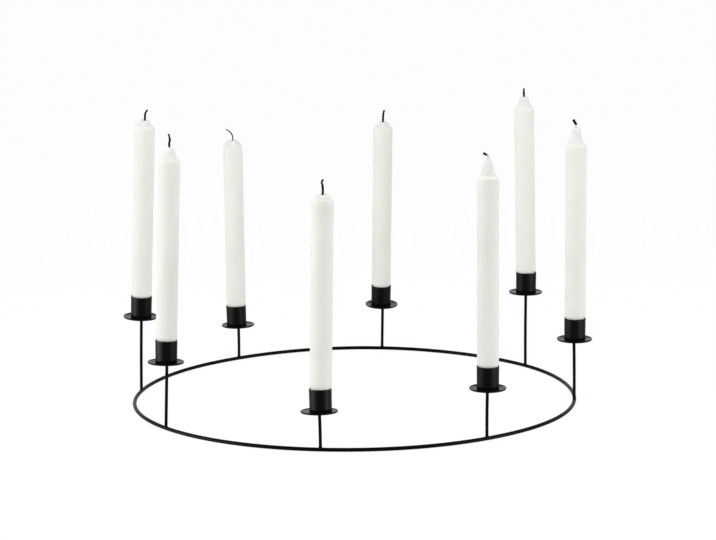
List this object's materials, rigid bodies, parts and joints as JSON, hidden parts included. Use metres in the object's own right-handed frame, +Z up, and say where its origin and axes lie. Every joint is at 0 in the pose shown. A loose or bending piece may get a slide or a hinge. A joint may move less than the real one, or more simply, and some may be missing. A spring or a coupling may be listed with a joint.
{
  "type": "ring candle holder",
  "caption": "Steel wire ring carrying candle cups on drip plates and thin stems of stepped heights, each cup holding a taper candle that lifts out.",
  "frame": {"origin": "centre of the ring, on the surface that the ring lies on", "axes": "+Z up; +X towards holder 1, with holders 2 to 8 following anticlockwise as seen from above"},
  "size_m": [0.5146, 0.5177, 0.3213],
  "materials": {
    "black_steel": "satin black powder coat over steel",
    "candle_wax": "smooth off-white wax, faintly translucent",
    "burnt_wick": "charred braided cotton"
  },
  "bodies": {
    "holder": {"ring": "black_steel", "stem_1": "black_steel", "stem_2": "black_steel", "stem_3": "black_steel", "stem_4": "black_steel", "stem_5": "black_steel", "stem_6": "black_steel", "stem_7": "black_steel", "stem_8": "black_steel", "drip_plate_1": "black_steel", "drip_plate_2": "black_steel", "drip_plate_3": "black_steel", "drip_plate_4": "black_steel", "drip_plate_5": "black_steel", "drip_plate_6": "black_steel", "drip_plate_7": "black_steel", "drip_plate_8": "black_steel", "cup_1": "black_steel", "cup_2": "black_steel", "cup_3": "black_steel", "cup_4": "black_steel", "cup_5": "black_steel", "cup_6": "black_steel", "cup_7": "black_steel", "cup_8": "black_steel"},
    "lifting_candle_1": {"candle_1": "candle_wax", "wick_1": "burnt_wick"},
    "lifting_candle_2": {"candle_2": "candle_wax", "wick_2": "burnt_wick"},
    "lifting_candle_3": {"candle_3": "candle_wax", "wick_3": "burnt_wick"},
    "lifting_candle_4": {"candle_4": "candle_wax", "wick_4": "burnt_wick"},
    "lifting_candle_5": {"candle_5": "candle_wax", "wick_5": "burnt_wick"},
    "lifting_candle_6": {"candle_6": "candle_wax", "wick_6": "burnt_wick"},
    "lifting_candle_7": {"candle_7": "candle_wax", "wick_7": "burnt_wick"},
    "lifting_candle_8": {"candle_8": "candle_wax", "wick_8": "burnt_wick"}
  },
  "joints": [
    {"name": "candle_1_lift", "type": "slide", "parent": "holder", "child": "lifting_candle_1", "axis": [0.0052, -0.0105, 0.9999], "range_m": [0, 0.03]},
    {"name": "candle_2_lift", "type": "slide", "parent": "holder", "child": "lifting_candle_2", "axis": [-0.0105, -0.0035, 0.9999], "range_m": [0, 0.03]},
    {"name": "candle_3_lift", "type": "slide", "parent": "holder", "child": "lifting_candle_3", "axis": [0.0332, -0.0767, 0.9965], "range_m": [0, 0.03]},
    {"name": "candle_4_lift", "type": "slide", "parent": "holder", "child": "lifting_candle_4", "axis": [0, 0, 1], "range_m": [0, 0.03]},
    {"name": "candle_5_lift", "type": "slide", "parent": "holder", "child": "lifting_candle_5", "axis": [0.0541, -0.0296, 0.9981], "range_m": [0, 0.03]},
    {"name": "candle_6_lift", "type": "slide", "parent": "holder", "child": "lifting_candle_6", "axis": [0.0332, 0.0366, 0.9988], "range_m": [0, 0.03]},
    {"name": "candle_7_lift", "type": "slide", "parent": "holder", "child": "lifting_candle_7", "axis": [0.0157, 0.0576, 0.9982], "range_m": [0, 0.03]},
    {"name": "candle_8_lift", "type": "slide", "parent": "holder", "child": "lifting_candle_8", "axis": [0.0035, 0, 1], "range_m": [0, 0.03]}
  ]
}
